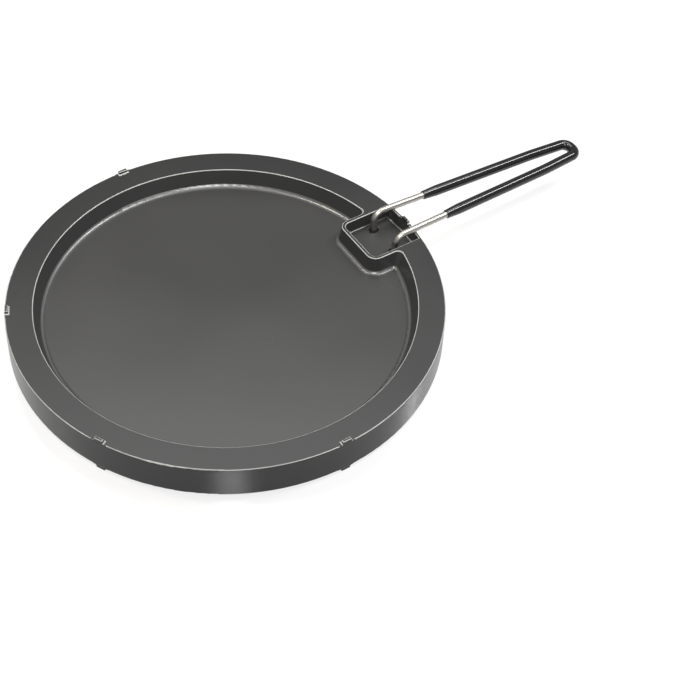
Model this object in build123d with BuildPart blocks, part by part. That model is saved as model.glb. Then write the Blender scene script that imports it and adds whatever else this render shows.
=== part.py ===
from build123d import *
import os
from math import degrees, isclose, radians, tan

# A round cast griddle that is used either way up: a shallow smooth pan on one face and a ribbed
# grill with a drip gutter on the other. A bent wire handle hooks into two slots in a pocket at the
# rim, and carries one long soft sleeve as its grip.
# Millimetres. The origin is the centre of the smooth cooking face, +Z is up and +X is along the handle.

os.makedirs("parts", exist_ok=True)

# Round casting
plate_radius = 146.0
body_height = 24.1          # from the ribbed rim up to the ring
well_depth = 12.5           # from the ring down to the smooth cooking face
pan_wall = 4.0              # measured level, between the smooth pan and the gutter
pan_wall_draft = 21.0       # degrees from upright
well_foot_round = 3.5
ring_thickness = 3.0
grill_recess = 7.4          # from the ribbed rim up to the grill face
gutter_width = 10.27        # of its floor, before its rounds
rim_width = 2.0
rim_inner_draft = 4.0
gutter_outer_round = 7.0
gutter_inner_round = 2.5
edge_round = 0.8

# Grill ribs
rib_pitch = 16.0
rib_height = 2.2
rib_width = 3.6             # at the foot
rib_side_draft = 14.0
rib_top_round = 1.1
rib_foot_round = 0.7
rib_end_draft = 30.0
rib_end_inset = 1.0         # from the edge of the grill face
rib_foot_sink = 0.05        # the foot round starts this far inside the grill face

# Rim nubs, at the same places on both faces
nub_height = 2.4
nub_depth = 2.2             # across the ring
nub_length = 6.2            # along the edge
nub_top_round = 0.6
nub_foot_round = 1.3
nub_foot_sink = 0.05        # the foot round starts this far inside the ring
nub_setback = 0.1           # from each side of the rim
nub_sink = 1.0
nub_angles = [0.0, 90.0, 153.5, -153.5, -90.0]     # the first stands behind the pocket

# Handle pocket, alike on both faces
pocket_length = 40.8        # from the skirt to the inner face of the end wall
pocket_half_width = 18.9
pocket_wall = 2.7
pocket_depth = 9.55
pocket_corner = 4.5
pocket_draft = 2.5
pocket_foot_round = 1.2
pocket_block_draft = 9.0    # outer faces that stand in the smooth pan
pocket_back_draft = 5.0     # outer faces that stand on the ribbed side
pocket_plan_round = 4.0     # between the block and the wall of the pan

# Wire handle
wire_diameter = 4.76
hook_clearance = 0.25       # wire to the floor of the pocket
hook_reach = 9.0            # stub under the floor, from the tilt axis
hook_inset = 6.7            # from the side of the pocket to the line of its hook
hook_end_round = 0.6
slot_side_clearance = 0.8   # wire to each side of its slot, at the hook
slot_front_clearance = 1.1  # wire to the end of its slot that is nearer to the skirt
slot_back_overlap = 0.7     # the other end stands this far past the tilt axis
slot_edge_round = 0.4
leg_inset = 19.0            # from the skirt in to the legs
leg_rise = 4.4              # wire line above the ring, over the slot
leg_bend_radius = 8.0
leg_spread = 1.6            # outwards, from each hook up to its run
taper_half_spacing = 8.95   # of the runs, where each bends in towards the loop
taper_length = 31.5         # from that bend to the end of the loop, along X
taper_bend_radius = 100.0
loop_half_width = 6.4
loop_radius = 5.85
handle_length = 165.9       # from the legs out to the end of the loop, along X
handle_droop = 1.16         # degrees

# Grip sleeve
sleeve_wall = 1.42
sleeve_end_wall = 0.75      # at its two ends, which taper
sleeve_end_taper = 11.0
bare_length = 42.2          # of each run, from the legs out to the sleeve, along X
sleeve_slip = 1.35          # the sleeve sits this far round the loop, towards the run on +Y
sleeve_end_round = 0.3

find_tolerance = 0.05       # when an edge or a face is looked for by its size or level

# Levels
cooking_z = 0.0
ring_z = cooking_z + well_depth
rim_z = ring_z - body_height
grill_z = rim_z + grill_recess
gutter_z = ring_z - ring_thickness
rib_z = grill_z - rib_height
core_z = (cooking_z + grill_z) / 2
middle_z = (ring_z + rim_z) / 2
pocket_floor_thickness = body_height - 2 * pocket_depth

# Radii, from the skirt inwards
rim_inner_radius = plate_radius - rim_width
rim_run = (gutter_z - rim_z) * tan(radians(rim_inner_draft))
back_run = (gutter_z - grill_z) * tan(radians(pan_wall_draft))
grill_radius = rim_inner_radius - rim_run - gutter_width - back_run
cooking_radius = grill_radius - pan_wall
well_mouth_radius = cooking_radius + well_depth * tan(radians(pan_wall_draft))

# Upright pocket block, in two halves that widen away from the faces of the griddle
pocket_end_x = plate_radius - pocket_length
pocket_wall_end_x = pocket_end_x - pocket_wall
block_half_width = pocket_half_width + pocket_wall
block_corner = pocket_corner + pocket_wall
block_length = plate_radius - pocket_wall_end_x
core_radius = cooking_radius - (cooking_z - core_z) * tan(radians(pan_wall_draft))

# The room of the smooth pan, out to the middle of its wall and down to the middle of its floor
with BuildPart() as pan_room:
    with BuildSketch(Plane.XZ):
        with BuildLine():
            Polyline(
                (0, core_z),
                (core_radius + pan_wall / 2, core_z),
                (well_mouth_radius + pan_wall / 2, ring_z),
                (0, ring_z),
                close=True,
            )
        make_face()
    revolve(axis=Axis.Z)

with BuildPart() as pocket_front:
    with BuildSketch(Plane.XY.offset(ring_z)) as front_outline:
        with Locations((pocket_wall_end_x, 0)):
            Rectangle(block_length, 2 * block_half_width, align=(Align.MIN, Align.CENTER))
        fillet(front_outline.vertices().group_by(Axis.X)[0], block_corner)
    extrude(amount=core_z - ring_z, taper=-pocket_block_draft)
    add(pan_room.part, mode=Mode.INTERSECT)

with BuildPart() as pocket_back:
    with BuildSketch(Plane.XY.offset(rim_z)) as back_outline:
        with Locations((pocket_wall_end_x, 0)):
            Rectangle(block_length, 2 * block_half_width, align=(Align.MIN, Align.CENTER))
        fillet(back_outline.vertices().group_by(Axis.X)[0], block_corner)
    extrude(amount=gutter_z + ring_thickness / 2 - rim_z, taper=-pocket_back_draft)
    with Locations((0, 0, rim_z)):
        Cylinder(
            plate_radius - rim_width / 2,
            body_height,
            align=(Align.CENTER, Align.CENTER, Align.MIN),
            mode=Mode.INTERSECT,
        )
    add(pan_room.part, mode=Mode.SUBTRACT)

# The room inside the pocket, once in each face
with BuildPart() as pocket_rooms:
    with BuildSketch(Plane.XY.offset(ring_z)) as pocket_mouth:
        with Locations((pocket_end_x, 0)):
            Rectangle(plate_radius, 2 * pocket_half_width, align=(Align.MIN, Align.CENTER))
        fillet(pocket_mouth.vertices().group_by(Axis.X)[0], pocket_corner)
        Circle(rim_inner_radius, mode=Mode.INTERSECT)
    extrude(amount=-pocket_depth, taper=pocket_draft)
    fillet(pocket_rooms.faces().sort_by(Axis.Z)[0].edges(), pocket_foot_round)
    mirror(about=Plane.XY.offset(middle_z))

# Straight ribs with rounded tops and feet, cut off by a disc with a sloping edge
rib_count = int(grill_radius / rib_pitch)
rib_top_half = rib_width / 2 - rib_height * tan(radians(rib_side_draft))
rib_flare_half = rib_width / 2 + 2 * rib_foot_round
rib_flare_z = grill_z + rib_foot_sink
rib_disc_radius = grill_radius - rib_end_inset

with BuildPart() as rib:
    with BuildSketch(Plane.YZ.offset(-grill_radius)):
        with BuildLine():
            FilletPolyline(
                (-rib_flare_half, core_z),
                (-rib_flare_half, rib_flare_z),
                (-rib_width / 2, rib_flare_z),
                (-rib_top_half, rib_z),
                (rib_top_half, rib_z),
                (rib_width / 2, rib_flare_z),
                (rib_flare_half, rib_flare_z),
                (rib_flare_half, core_z),
                radius=[0, 0, rib_foot_round, rib_top_round, rib_top_round, rib_foot_round, 0, 0],
                close=True,
            )
        make_face()
    extrude(amount=2 * grill_radius)

with BuildPart() as ribs:
    with GridLocations(0, rib_pitch, 1, 2 * rib_count + 1):
        add(rib.part)
    with BuildSketch(Plane.XZ):
        with BuildLine():
            Polyline(
                (0, core_z),
                (rib_disc_radius, core_z),
                (rib_disc_radius, grill_z),
                (rib_disc_radius - rib_height * tan(radians(rib_end_draft)), rib_z),
                (0, rib_z),
                close=True,
            )
        make_face()
    revolve(axis=Axis.Z, mode=Mode.INTERSECT)

# One nub on the ring: it swells out into the ring at its ends and its inner side
nub_outer_radius = plate_radius - nub_setback
nub_inner_radius = nub_outer_radius - nub_depth
nub_flare_radius = nub_inner_radius - 2 * nub_foot_round
nub_flare_half = nub_length / 2 + 2 * nub_foot_round
nub_foot_z = ring_z - nub_foot_sink
nub_low_z = ring_z - nub_sink
nub_top_z = ring_z + nub_height
nub_arc = degrees(4 * nub_flare_half / plate_radius)

with BuildPart() as nub:
    with BuildSketch(Plane.XZ.rotated((0, 0, -nub_arc / 2))):
        with BuildLine():
            FilletPolyline(
                (nub_flare_radius, nub_low_z),
                (nub_flare_radius, nub_foot_z),
                (nub_inner_radius, nub_foot_z),
                (nub_inner_radius, nub_top_z),
                (nub_outer_radius, nub_top_z),
                (nub_outer_radius, nub_low_z),
                radius=[0, 0, nub_foot_round, nub_top_round, nub_top_round, 0],
                close=True,
            )
        make_face()
    revolve(axis=Axis.Z, revolution_arc=nub_arc)
    with BuildSketch(Plane.YZ):
        with BuildLine():
            FilletPolyline(
                (-nub_flare_half, nub_low_z),
                (-nub_flare_half, nub_foot_z),
                (-nub_length / 2, nub_foot_z),
                (-nub_length / 2, nub_top_z),
                (nub_length / 2, nub_top_z),
                (nub_length / 2, nub_foot_z),
                (nub_flare_half, nub_foot_z),
                (nub_flare_half, nub_low_z),
                radius=[0, 0, nub_foot_round, nub_top_round, nub_top_round, nub_foot_round, 0, 0],
                close=True,
            )
        make_face()
    extrude(amount=plate_radius, mode=Mode.INTERSECT)

# A nub where the rim is narrow, behind the pocket and all round the ribbed face
with BuildPart() as rim_nub:
    add(nub.part)
    Cylinder(rim_inner_radius + nub_setback, 2 * body_height, mode=Mode.SUBTRACT)

with BuildPart() as rim_nubs:
    for angle in nub_angles:
        with Locations(Location((0, 0, 0), (0, 0, angle))):
            add(rim_nub.part)

with BuildPart() as nubs:
    mirror(rim_nubs.part, about=Plane.XY.offset(middle_z))
    add(rim_nub.part)
    for angle in nub_angles[1:]:
        with Locations(Location((0, 0, 0), (0, 0, angle))):
            add(nub.part)

# The handle tilts about the inner ends of its slots, halfway down the floor of the pocket
wire_radius = wire_diameter / 2
hook_half_spacing = pocket_half_width - hook_inset
run_half_spacing = hook_half_spacing + leg_spread
leg_x = plate_radius - leg_inset
elbow_radius = pocket_floor_thickness / 2 + hook_clearance + wire_radius
tilt_x = leg_x - elbow_radius
slot_back_x = tilt_x + slot_back_overlap
slot_front_x = leg_x + wire_radius + slot_front_clearance
slot_width = wire_diameter + 2 * slot_side_clearance
slot_x = (slot_back_x + slot_front_x) / 2

# The round casting, turned from its section
with BuildPart() as plate:
    with BuildSketch(Plane.XZ):
        with BuildLine():
            FilletPolyline(
                (0, cooking_z),
                (cooking_radius, cooking_z),
                (well_mouth_radius, ring_z),
                (plate_radius, ring_z),
                (plate_radius, rim_z),
                (rim_inner_radius, rim_z),
                (rim_inner_radius - rim_run, gutter_z),
                (grill_radius + back_run, gutter_z),
                (grill_radius, grill_z),
                (0, grill_z),
                radius=[0, 0, 0, 0, 0, gutter_outer_round, gutter_inner_round, edge_round],
            )
            Line((0, grill_z), (0, cooking_z))
        make_face()
    revolve(axis=Axis.Z)
    add(ribs.part)
    add(pocket_front.part)
    add(pocket_back.part)
    add(pocket_rooms.part, mode=Mode.SUBTRACT)
    # The upright corners between the block and the wall of the pan, then the foot of both
    rim_edges = plate.edges().filter_by_position(Axis.X, pocket_end_x + block_corner, plate_radius)
    corners = rim_edges.filter_by(
        lambda edge: isclose(edge.bounding_box().size.Z, well_depth, abs_tol=find_tolerance)
    )
    fillet(corners, pocket_plan_round)
    cooking_face = plate.faces().filter_by(GeomType.PLANE).filter_by_position(
        Axis.Z, cooking_z - find_tolerance, cooking_z + find_tolerance
    )
    fillet(cooking_face.edges(), well_foot_round)
    # The lips of the ring and of the ribbed rim
    fillet(plate.edges().group_by(Axis.Z)[-1], edge_round)
    fillet(plate.edges().group_by(Axis.Z)[0], edge_round)
    add(nubs.part)
    with BuildSketch(Plane.XY.offset(middle_z)):
        with Locations((slot_x, hook_half_spacing), (slot_x, -hook_half_spacing)):
            SlotOverall(slot_front_x - slot_back_x, slot_width)
    extrude(amount=pocket_floor_thickness / 2, both=True, mode=Mode.SUBTRACT)
    slot_edges = plate.edges().filter_by(
        lambda edge: edge.bounding_box().min.X > slot_back_x - find_tolerance
        and edge.bounding_box().max.X < slot_front_x + find_tolerance
        and edge.bounding_box().size.Z < find_tolerance
    )
    fillet(slot_edges, slot_edge_round)

plate.part.label = "griddle_plate"
export_step(plate.part, "parts/griddle_plate.step")

# Wire handle: two hooked legs, two long runs and the loop at the far end, bent from one length
stub_z = middle_z - elbow_radius
leg_top_z = ring_z + leg_rise
loop_end_x = leg_x + handle_length
taper_x = loop_end_x - taper_length
loop_z = leg_top_z - handle_length * tan(radians(handle_droop))
taper_z = loop_z + taper_length * tan(radians(handle_droop))

with BuildPart() as handle_wire:
    with BuildLine() as wire_line:
        FilletPolyline(
            (tilt_x - hook_reach, hook_half_spacing, stub_z),
            (leg_x, hook_half_spacing, stub_z),
            (leg_x, run_half_spacing, leg_top_z),
            (taper_x, taper_half_spacing, taper_z),
            (loop_end_x, loop_half_width, loop_z),
            (loop_end_x, -loop_half_width, loop_z),
            (taper_x, -taper_half_spacing, taper_z),
            (leg_x, -run_half_spacing, leg_top_z),
            (leg_x, -hook_half_spacing, stub_z),
            (tilt_x - hook_reach, -hook_half_spacing, stub_z),
            radius=[
                elbow_radius,
                leg_bend_radius,
                taper_bend_radius,
                loop_radius,
                loop_radius,
                taper_bend_radius,
                leg_bend_radius,
                elbow_radius,
            ],
        )
    with BuildSketch(Plane(origin=wire_line.line @ 0, z_dir=wire_line.line % 0)):
        Circle(wire_radius)
    sweep()
    fillet(handle_wire.edges().group_by(Axis.X)[0], hook_end_round)

handle_wire.part.label = "handle_wire"
export_step(handle_wire.part, "parts/handle_wire.step")

# Grip sleeve: one soft tube on both runs and round the loop, thinner towards its two ends
sleeve_radius = wire_radius + sleeve_wall
sleeve_end_radius = wire_radius + sleeve_end_wall


def run_point(length, side):
    """The point of a run at a length along X from its leg; side is 1 on +Y and -1 on -Y."""
    share = length / (taper_x - leg_x)
    half_spacing = run_half_spacing + (taper_half_spacing - run_half_spacing) * share
    return (leg_x + length, side * half_spacing, leg_top_z + (taper_z - leg_top_z) * share)


with BuildPart() as grip_sleeve:
    with BuildLine() as sleeve_line:
        FilletPolyline(
            run_point(bare_length - sleeve_slip + sleeve_end_taper, 1),
            (taper_x, taper_half_spacing, taper_z),
            (loop_end_x, loop_half_width, loop_z),
            (loop_end_x, -loop_half_width, loop_z),
            (taper_x, -taper_half_spacing, taper_z),
            run_point(bare_length + sleeve_slip + sleeve_end_taper, -1),
            radius=[taper_bend_radius, loop_radius, loop_radius, taper_bend_radius],
        )
    with BuildSketch(Plane(origin=sleeve_line.line @ 0, z_dir=sleeve_line.line % 0)):
        Circle(sleeve_radius)
    sweep()
    first_end = Plane(origin=sleeve_line.line @ 0, z_dir=-(sleeve_line.line % 0))
    last_end = Plane(origin=sleeve_line.line @ 1, z_dir=sleeve_line.line % 1)
    with Locations(first_end, last_end):
        Cone(
            sleeve_radius,
            sleeve_end_radius,
            sleeve_end_taper,
            align=(Align.CENTER, Align.CENTER, Align.MIN),
        )
    end_edges = grip_sleeve.edges().filter_by(GeomType.CIRCLE).filter_by(
        lambda edge: isclose(edge.radius, sleeve_end_radius, abs_tol=find_tolerance)
    )
    fillet(end_edges, sleeve_end_round)
    add(handle_wire.part, mode=Mode.SUBTRACT)

grip_sleeve.part.label = "grip_sleeve"
export_step(grip_sleeve.part, "parts/grip_sleeve.step")
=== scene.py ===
import math

import bmesh
import bpy
from mathutils import Matrix, Quaternion, Vector


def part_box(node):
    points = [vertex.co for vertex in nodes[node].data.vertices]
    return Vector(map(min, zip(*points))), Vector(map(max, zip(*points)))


# The looks of a round cast griddle with a wire handle. Metres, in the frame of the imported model:
# the origin is the centre of the smooth cooking face, +Z is up and +X runs along the handle.

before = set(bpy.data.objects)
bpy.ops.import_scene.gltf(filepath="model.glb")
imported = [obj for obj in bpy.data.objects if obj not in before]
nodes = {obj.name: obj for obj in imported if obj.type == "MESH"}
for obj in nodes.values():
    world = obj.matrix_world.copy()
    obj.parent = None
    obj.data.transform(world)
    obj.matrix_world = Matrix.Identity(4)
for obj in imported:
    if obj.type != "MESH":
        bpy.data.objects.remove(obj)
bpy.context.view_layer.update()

# Levels and radii of the casting
plate_low, plate_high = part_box("griddle_plate")
NUB_HEIGHT = 0.0024
RING_LEVEL = plate_high.z - NUB_HEIGHT      # the ring round the smooth pan
RIM_LEVEL = plate_low.z + NUB_HEIGHT        # the rim of the ribbed side
FLOOR_LEVEL = plate_low.z                   # the lower nubs stand on the floor
EDGE_ROUND = 0.0008
FOOT_ROUND = 0.0035                         # at the foot of the smooth pan's wall
PLATE_RADIUS = 0.146

# Where each mask of the casting begins, and where it is full
LIP_START = 1.3 * EDGE_ROUND                # down from the ring, or up from the rim
COOKING_REACH = (0.0008, 0.0002)            # up or down from the cooking face
FOOT_START = (0.0001, 0.0006)               # above the cooking face
FOOT_END = (1.2 * FOOT_ROUND, 0.8 * FOOT_ROUND)
SKIRT_START = (PLATE_RADIUS - EDGE_ROUND, PLATE_RADIUS - EDGE_ROUND / 2)
ROUND_OFF_WALL = (0.38, 0.55)               # upright part of the normal, 0 on a wall
ROUND_OFF_FACE = (0.995, 0.93)              # the same, 1 on a level face

# Colours of the coating by place, each laid over the ones before it
WALL_COLOR = (0.028, 0.029, 0.028)
# Painted shade: the ring is darker than the cooking face of the same coating
RING_COLOR = (0.017, 0.0175, 0.0175)
COOKING_COLOR = (0.032, 0.032, 0.032)
# Painted shade: the upright outer skirt is darker than the rest of the coating
SKIRT_SHADE_COLOR = (0.012, 0.0123, 0.0126)
# Painted highlight: the fillet at the foot of the pan's wall is lighter
FOOT_HIGHLIGHT_COLOR = (0.045, 0.045, 0.045)
HANDLED_COLOR = (0.16, 0.16, 0.16)
# Worn edges that also carry a painted highlight, bright on the lips
WORN_HIGHLIGHT_COLOR = (0.38, 0.38, 0.372)
HANDLED_SHARE = 0.06        # of the handled colour, where the smudge is strongest
WORN_HIGHLIGHT_SMUDGE = (0.2, 0.6)  # smudge at which the lips get the least and most wear and painted highlight
WORN_HIGHLIGHT_SHARE = (0.75, 1.0)

# Roughness of the coating
SATIN_ROUGHNESS = (0.21, 0.29)
FOOT_DULLNESS = 0.12        # added on the foot of the pan's wall
RING_DULLNESS = 0.05        # added on the ring and the rim

# Colours and roughness of the handle, from one end of their noise to the other
STEEL_COLORS = ((0.37, 0.357, 0.33), (0.45, 0.436, 0.41))
STEEL_ROUGHNESS = (0.35, 0.41)
STEEL_LINES_SCALE = 500.0
STEEL_LINES_STRETCH = (0.03, 1, 1)          # long along the handle
GRIP_COLORS = ((0.0035, 0.0035, 0.0045), (0.005, 0.005, 0.0065))
GRIP_ROUGHNESS = (0.12, 0.15)

# The photograph's camera: where it stands, the point that it looks at, and its roll
CAMERA_PLACE = Vector((-0.3932, -0.68201, 0.8258))
CAMERA_TARGET = Vector((0.05077, -0.07273, 0.00025))
CAMERA_ROLL = 3.528         # degrees
CAMERA_LENS = 87.21         # mm
CAMERA_SENSOR = 36.0        # mm
CAMERA_CLIP = (0.01, 100.0)

# Backdrop
WHITE = (1.0, 1.0, 1.0)
FLOOR_SIZE = 12.0
FLOOR_COLOR = (0.22, 0.22, 0.22)
FLOOR_ROUGHNESS = 0.1
FLOOR_GLOW = 0.72           # seen by the camera and in reflections, lights nothing
SKY_STRENGTH = 0.4

# Softboxes, facing the origin: place, direction of the first side, two sides, watts, colour
ALONG_HANDLE = (1.0, 0.0, 0.0)
ACROSS_VIEW = (0.802, -0.597, 0.0)
SOFTBOXES = {
    "right_softbox": ((0.66, -0.21, 1.0), ALONG_HANDLE, (0.84, 0.11), 9.2, WHITE),
    "left_softbox": ((-0.4, 0.35, 1.0), ACROSS_VIEW, (0.4, 0.1), 5.8, (1.0, 0.93, 0.8)),
    "back_softbox": ((0.33, 0.452, 1.06), ACROSS_VIEW, (1.0, 0.45), 5.9, WHITE),
    "front_softbox": ((-0.54, -0.96, 1.25), ACROSS_VIEW, (0.26, 0.26), 14.0, WHITE),
}


def feed(tree, socket, value):
    """Link an output to the socket, or set it to a number or an RGB colour."""
    if isinstance(value, bpy.types.NodeSocket):
        tree.links.new(value, socket)
    elif isinstance(value, tuple):
        socket.default_value = (*value, 1.0)
    else:
        socket.default_value = value


def math_node(tree, operation, *values):
    """A Math node on one or two numbers or outputs."""
    node = tree.nodes.new("ShaderNodeMath")
    node.operation = operation
    for socket, value in zip(node.inputs, values):
        feed(tree, socket, value)
    return node.outputs[0]


def product(tree, first, *others):
    """The product of numbers or outputs."""
    for other in others:
        first = math_node(tree, "MULTIPLY", first, other)
    return first


def range_node(tree, value, ends=(0.0, 1.0), results=(0.0, 1.0)):
    """A smooth Map Range node: from results[0] at ends[0] to results[1] at ends[1]."""
    node = tree.nodes.new("ShaderNodeMapRange")
    node.interpolation_type = "SMOOTHSTEP"
    tree.links.new(value, node.inputs["Value"])
    node.inputs["From Min"].default_value, node.inputs["From Max"].default_value = ends
    node.inputs["To Min"].default_value, node.inputs["To Max"].default_value = results
    return node.outputs[0]


def mix_colors(tree, factor, first, second):
    """A colour mix; first and second are colours or outputs."""
    node = tree.nodes.new("ShaderNodeMix")
    node.data_type = "RGBA"
    tree.links.new(factor, node.inputs["Factor"])
    # Of the sockets named A, B and Result, these are the ones for colours
    feed(tree, node.inputs[6], first)
    feed(tree, node.inputs[7], second)
    return node.outputs[2]


def noise_node(tree, scale, detail, roughness, stretch=(1, 1, 1)):
    """Noise on Object coordinates; scale is a number or an output."""
    place = tree.nodes.new("ShaderNodeTexCoord")
    mapping = tree.nodes.new("ShaderNodeMapping")
    mapping.inputs["Scale"].default_value = stretch
    noise = tree.nodes.new("ShaderNodeTexNoise")
    tree.links.new(place.outputs["Object"], mapping.inputs["Vector"])
    tree.links.new(mapping.outputs["Vector"], noise.inputs["Vector"])
    feed(tree, noise.inputs["Scale"], scale)
    noise.inputs["Detail"].default_value = detail
    noise.inputs["Roughness"].default_value = roughness
    return noise.outputs["Fac"]


def new_group(name, inputs, outputs):
    """A node group with float inputs, given with their defaults, and named outputs."""
    group = bpy.data.node_groups.new(name, "ShaderNodeTree")
    for label, default in inputs.items():
        socket = group.interface.new_socket(label, in_out="INPUT", socket_type="NodeSocketFloat")
        socket.default_value = default
    for label in outputs:
        group.interface.new_socket(label, in_out="OUTPUT", socket_type="NodeSocketFloat")
    return group, group.nodes.new("NodeGroupInput"), group.nodes.new("NodeGroupOutput")


def make_rounded_mask():
    """Where a surface is between level and upright, as on a casting's lips, rounds and fillets."""
    group, _, out = new_group("rounded_mask", {}, ["Mask"])
    place = group.nodes.new("ShaderNodeTexCoord")
    split = group.nodes.new("ShaderNodeSeparateXYZ")
    group.links.new(place.outputs["Normal"], split.inputs[0])
    levelness = math_node(group, "ABSOLUTE", split.outputs["Z"])
    off_walls = range_node(group, levelness, ROUND_OFF_WALL)
    off_faces = range_node(group, levelness, ROUND_OFF_FACE)
    group.links.new(product(group, off_walls, off_faces), out.inputs["Mask"])
    return group


def make_surface_grain():
    """Fine grain for bumps, and broad handling marks for colour and roughness."""
    group, given, out = new_group("surface_grain", {"Grain Scale": 1800.0, "Smudge Scale": 22.0},
                                  ["Grain", "Smudge"])
    grain = noise_node(group, given.outputs["Grain Scale"], detail=3.0, roughness=0.6)
    smudge = noise_node(group, given.outputs["Smudge Scale"], detail=1.0, roughness=0.4)
    group.links.new(grain, out.inputs["Grain"])
    group.links.new(smudge, out.inputs["Smudge"])
    return group


ROUNDED_MASK = make_rounded_mask()
SURFACE_GRAIN = make_surface_grain()


def use_group(tree, group, **values):
    """A node of the group, with inputs set by name."""
    node = tree.nodes.new("ShaderNodeGroup")
    node.node_tree = group
    for label, value in values.items():
        node.inputs[label.replace("_", " ")].default_value = value
    return node


def new_material(name, **sockets):
    """A material with one Principled shader, with sockets set by name."""
    material = bpy.data.materials.new(name)
    material.use_nodes = True
    tree = material.node_tree
    shader = tree.nodes["Principled BSDF"]
    for label, value in sockets.items():
        feed(tree, shader.inputs[label.replace("_", " ")], value)
    return material, tree, shader


def add_bump(tree, shader, height, distance, strength):
    """A bump on the whole shader, from a height that varies between 0 and 1."""
    bump = tree.nodes.new("ShaderNodeBump")
    bump.inputs["Strength"].default_value = strength
    bump.inputs["Distance"].default_value = distance
    tree.links.new(height, bump.inputs["Height"])
    tree.links.new(bump.outputs["Normal"], shader.inputs["Normal"])


def casting_masks(tree):
    """Masks of the ring and rim, their lips, the cooking face, the skirt and the pan's foot."""
    rounded = use_group(tree, ROUNDED_MASK).outputs["Mask"]
    place = tree.nodes.new("ShaderNodeTexCoord")
    split = tree.nodes.new("ShaderNodeSeparateXYZ")
    tree.links.new(place.outputs["Object"], split.inputs[0])
    level = split.outputs["Z"]

    on_ring = range_node(tree, level, (RING_LEVEL - LIP_START, RING_LEVEL - EDGE_ROUND))
    on_rim = range_node(tree, level, (RIM_LEVEL + LIP_START, RIM_LEVEL + EDGE_ROUND))
    outermost = math_node(tree, "MAXIMUM", on_ring, on_rim)
    lips = product(tree, outermost, rounded)
    cooking = range_node(tree, math_node(tree, "ABSOLUTE", level), COOKING_REACH)

    across = tree.nodes.new("ShaderNodeCombineXYZ")
    tree.links.new(split.outputs["X"], across.inputs["X"])
    tree.links.new(split.outputs["Y"], across.inputs["Y"])
    radius = tree.nodes.new("ShaderNodeVectorMath")
    radius.operation = "LENGTH"
    tree.links.new(across.outputs[0], radius.inputs[0])
    skirt = range_node(tree, radius.outputs["Value"], SKIRT_START)

    above_face = range_node(tree, level, FOOT_START)
    below_wall = range_node(tree, level, FOOT_END)
    foot = product(tree, rounded, above_face, below_wall)
    return outermost, lips, cooking, skirt, foot


def nonstick_casting():
    """Dark satin coating, lighter on the cooking face, with painted shade on the ring and the
    skirt, a painted highlight on the pan's foot, and lips that are worn and painted bright as
    highlights.
    """
    material, tree, shader = new_material("nonstick_casting", IOR=1.5, Specular_IOR_Level=0.3,
                                          Coat_IOR=2.0, Coat_Roughness=0.36)
    grain = use_group(tree, SURFACE_GRAIN, Grain_Scale=1500.0, Smudge_Scale=12.0)
    smudge = grain.outputs["Smudge"]
    outermost, lips, cooking, skirt, foot = casting_masks(tree)
    handled = range_node(tree, smudge, results=(0.0, HANDLED_SHARE))
    # The lips' worn colour is also a painted highlight, strongest where the smudge is
    worn_highlight = product(tree, lips, range_node(tree, smudge, WORN_HIGHLIGHT_SMUDGE, WORN_HIGHLIGHT_SHARE))

    color = WALL_COLOR
    # Painted shade on the ring and the skirt, a painted highlight on the foot, and worn lips with
    # a painted highlight
    for mask, layer in ((outermost, RING_COLOR), (cooking, COOKING_COLOR), (skirt, SKIRT_SHADE_COLOR),
                        (foot, FOOT_HIGHLIGHT_COLOR), (handled, HANDLED_COLOR), (worn_highlight, WORN_HIGHLIGHT_COLOR)):
        color = mix_colors(tree, mask, color, layer)
    tree.links.new(color, shader.inputs["Base Color"])

    roughness = range_node(tree, smudge, results=SATIN_ROUGHNESS)
    for mask, dullness in ((foot, FOOT_DULLNESS), (outermost, RING_DULLNESS)):
        roughness = math_node(tree, "ADD", roughness, product(tree, mask, dullness))
    tree.links.new(roughness, shader.inputs["Roughness"])
    tree.links.new(foot, shader.inputs["Coat Weight"])
    add_bump(tree, shader, grain.outputs["Grain"], distance=0.00002, strength=0.06)
    return material


def steel_wire():
    """Bright drawn stainless wire with fine lines along its run."""
    material, tree, shader = new_material("steel_wire", Metallic=1.0)
    grain = use_group(tree, SURFACE_GRAIN, Grain_Scale=2600.0, Smudge_Scale=60.0)
    lines = noise_node(tree, STEEL_LINES_SCALE, detail=1.0, roughness=0.5,
                       stretch=STEEL_LINES_STRETCH)
    tree.links.new(mix_colors(tree, lines, *STEEL_COLORS), shader.inputs["Base Color"])
    roughness = range_node(tree, grain.outputs["Smudge"], results=STEEL_ROUGHNESS)
    tree.links.new(roughness, shader.inputs["Roughness"])
    add_bump(tree, shader, lines, distance=0.00001, strength=0.06)
    return material


def soft_grip():
    """Glossy black soft tube, a touch blue, with a very faint grain."""
    material, tree, shader = new_material("soft_grip", IOR=1.5, Specular_IOR_Level=0.6)
    grain = use_group(tree, SURFACE_GRAIN, Grain_Scale=1200.0, Smudge_Scale=45.0)
    smudge = grain.outputs["Smudge"]
    tree.links.new(mix_colors(tree, smudge, *GRIP_COLORS), shader.inputs["Base Color"])
    roughness = range_node(tree, smudge, results=GRIP_ROUGHNESS)
    tree.links.new(roughness, shader.inputs["Roughness"])
    add_bump(tree, shader, grain.outputs["Grain"], distance=0.00001, strength=0.02)
    return material


def dress_cad_nodes():
    """Each CAD node keeps its shape and gets its finish."""
    finishes = {
        "griddle_plate": ("nonstick_casting", nonstick_casting()),
        "handle_wire": ("steel_wire", steel_wire()),
        "grip_sleeve": ("soft_grip", soft_grip()),
    }
    for name, (slot, material) in finishes.items():
        node = nodes[name]
        node.data.materials.clear()
        node.data.materials.append(material)


def ray_is_seen(tree):
    """1 for camera, glossy and transmission rays, 0 for the rays that light the object."""
    path = tree.nodes.new("ShaderNodeLightPath")
    seen = math_node(tree, "MAXIMUM", path.outputs["Is Camera Ray"], path.outputs["Is Glossy Ray"])
    return math_node(tree, "MAXIMUM", seen, path.outputs["Is Transmission Ray"])


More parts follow.
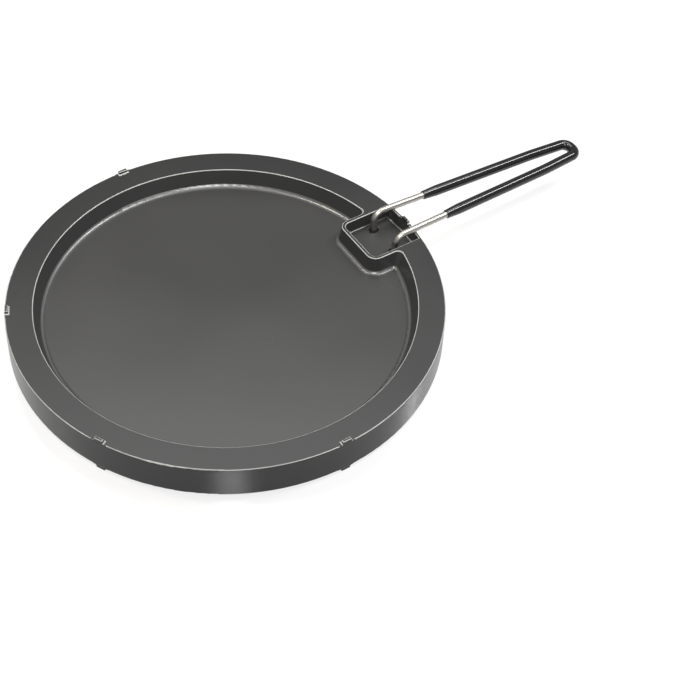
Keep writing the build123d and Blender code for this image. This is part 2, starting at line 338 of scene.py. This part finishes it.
def make_floor():
    """A plain pale floor that keeps the shadow, and looks white where it is seen."""
    work = bmesh.new()
    bmesh.ops.create_grid(work, x_segments=1, y_segments=1, size=FLOOR_SIZE / 2)
    bmesh.ops.translate(work, verts=work.verts, vec=(0, 0, FLOOR_LEVEL))
    mesh = bpy.data.meshes.new("floor")
    work.to_mesh(mesh)
    work.free()
    floor = bpy.data.objects.new("floor", mesh)
    bpy.context.scene.collection.objects.link(floor)
    material, tree, shader = new_material("floor_paint", Base_Color=FLOOR_COLOR,
                                          Roughness=FLOOR_ROUGHNESS, Specular_IOR_Level=1.0,
                                          Emission_Color=WHITE)
    glow = product(tree, ray_is_seen(tree), FLOOR_GLOW)
    tree.links.new(glow, shader.inputs["Emission Strength"])
    mesh.materials.append(material)


def make_sky():
    """A soft even light from all round."""
    world = bpy.data.worlds.new("sky")
    bpy.context.scene.world = world
    world.use_nodes = True
    background = world.node_tree.nodes["Background"]
    feed(world.node_tree, background.inputs["Color"], WHITE)
    background.inputs["Strength"].default_value = SKY_STRENGTH


def add_softbox(name, place, along, sides, power, color):
    """A rectangular softbox that faces the origin, its first side in the direction along."""
    light = bpy.data.lights.new(name, "AREA")
    light.shape = "RECTANGLE"
    light.size, light.size_y = sides
    light.energy = power
    light.color = color
    lamp = bpy.data.objects.new(name, light)
    lamp.location = place
    back = Vector(place).normalized()
    side = Vector(along)
    side = (side - side.dot(back) * back).normalized()
    lamp.rotation_mode = "QUATERNION"
    lamp.rotation_quaternion = Matrix((side, back.cross(side), back)).transposed().to_quaternion()
    bpy.context.scene.collection.objects.link(lamp)


def add_camera():
    """The photograph's camera."""
    data = bpy.data.cameras.new("camera")
    data.lens = CAMERA_LENS
    data.sensor_width = CAMERA_SENSOR
    data.clip_start, data.clip_end = CAMERA_CLIP
    camera = bpy.data.objects.new("camera", data)
    look = CAMERA_TARGET - CAMERA_PLACE
    roll = Quaternion((0, 0, 1), math.radians(CAMERA_ROLL))
    camera.rotation_mode = "QUATERNION"
    camera.rotation_quaternion = look.to_track_quat("-Z", "Y") @ roll
    camera.location = CAMERA_PLACE
    bpy.context.scene.collection.objects.link(camera)
    bpy.context.scene.camera = camera


dress_cad_nodes()
make_floor()
make_sky()
for box_name, box_values in SOFTBOXES.items():
    add_softbox(box_name, *box_values)
add_camera()
bpy.context.scene.view_settings.view_transform = "Standard"
